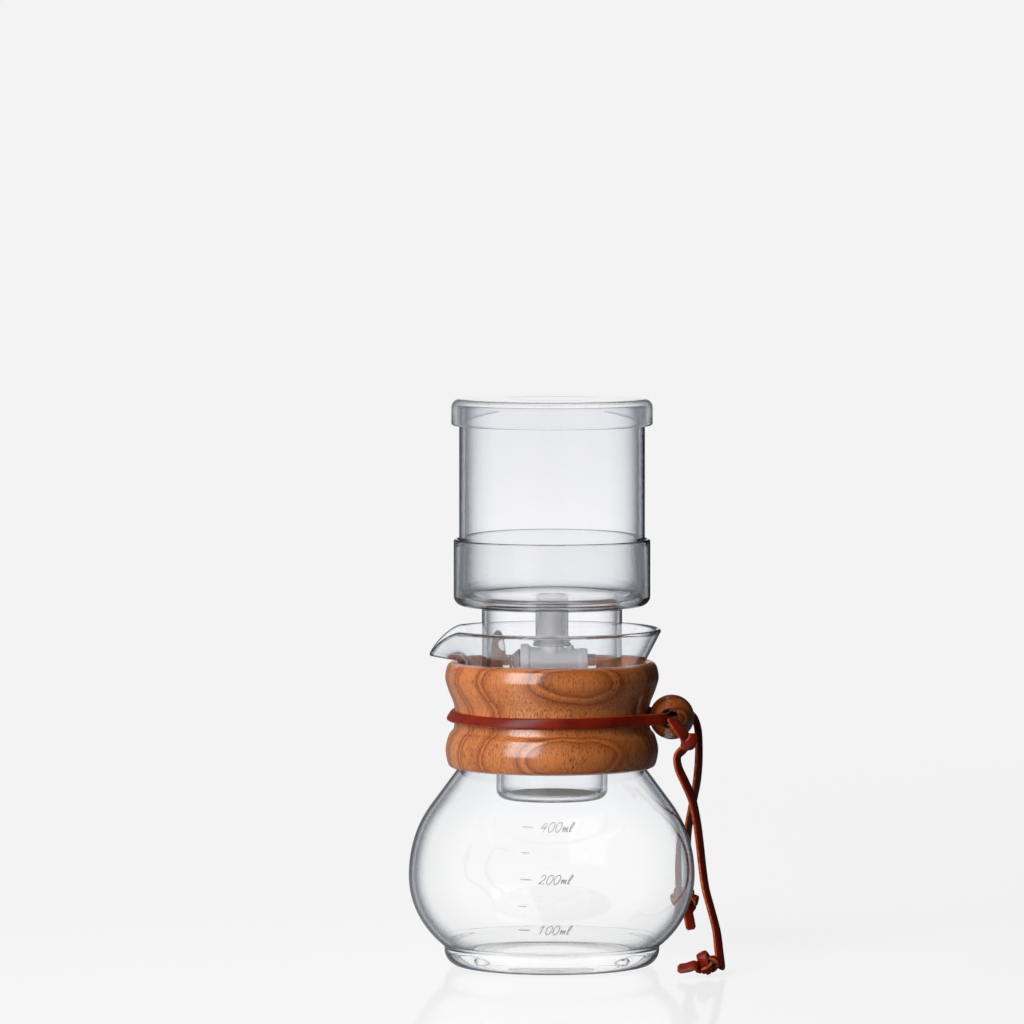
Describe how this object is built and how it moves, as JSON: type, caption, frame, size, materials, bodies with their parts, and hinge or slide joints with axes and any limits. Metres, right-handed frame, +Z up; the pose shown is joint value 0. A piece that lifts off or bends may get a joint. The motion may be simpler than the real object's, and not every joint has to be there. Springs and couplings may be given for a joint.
{
  "type": "cold drip coffee tower",
  "caption": "Glass cold drip tower: a lidded water vessel with a ground-glass tap stands in a stepped dripper, seated in a carafe with a wooden collar tied by a leather thong and bead.",
  "frame": {"origin": "middle of the carafe's foot, on the surface it stands on", "axes": "+Z up the tower's axis, -X towards the pouring spout, +X towards the bead, -Y towards the side seen in the picture"},
  "size_m": [0.1256, 0.1148, 0.2275],
  "materials": {
    "clear_glass": "clear, fire-polished borosilicate glass",
    "frosted_glass": "ground, frosted glass",
    "filter_paper": "thin white filter paper",
    "collar_wood": "polished orange-brown wood with a dark cathedral grain",
    "bead_wood": "polished red-brown wood",
    "thong_leather": "smooth red-brown leather with paler cut edges"
  },
  "bodies": {
    "carafe": {"carafe": "clear_glass", "collar_front": "collar_wood", "collar_back": "collar_wood", "thong_band": "thong_leather", "bead": "bead_wood", "bead_knot": "thong_leather", "thong_tail_long": "thong_leather", "knot_long": "thong_leather", "thong_tail_short": "thong_leather", "knot_short": "thong_leather"},
    "dripper": {"dripper": "clear_glass", "filter_disc": "filter_paper"},
    "water_vessel": {"water_vessel": "clear_glass", "tap_body": "frosted_glass"},
    "tap_plug": {"tap_plug": "clear_glass"},
    "lid": {"lid": "clear_glass"}
  },
  "joints": [
    {"name": "dripper_lift", "type": "slide", "parent": "carafe", "child": "dripper", "axis": [0, 0, 1], "range_m": [0, 0.0778]},
    {"name": "vessel_lift", "type": "slide", "parent": "dripper", "child": "water_vessel", "axis": [0, 0, 1], "range_m": [0, 0.0302]},
    {"name": "lid_lift", "type": "slide", "parent": "water_vessel", "child": "lid", "axis": [0, 0, 1], "range_m": [0, 0.0175]},
    {"name": "tap_turn", "type": "hinge", "parent": "water_vessel", "child": "tap_plug", "pos_m": [0, 0, 0.12149], "axis": [1, 0, 0], "continuous": true}
  ]
}
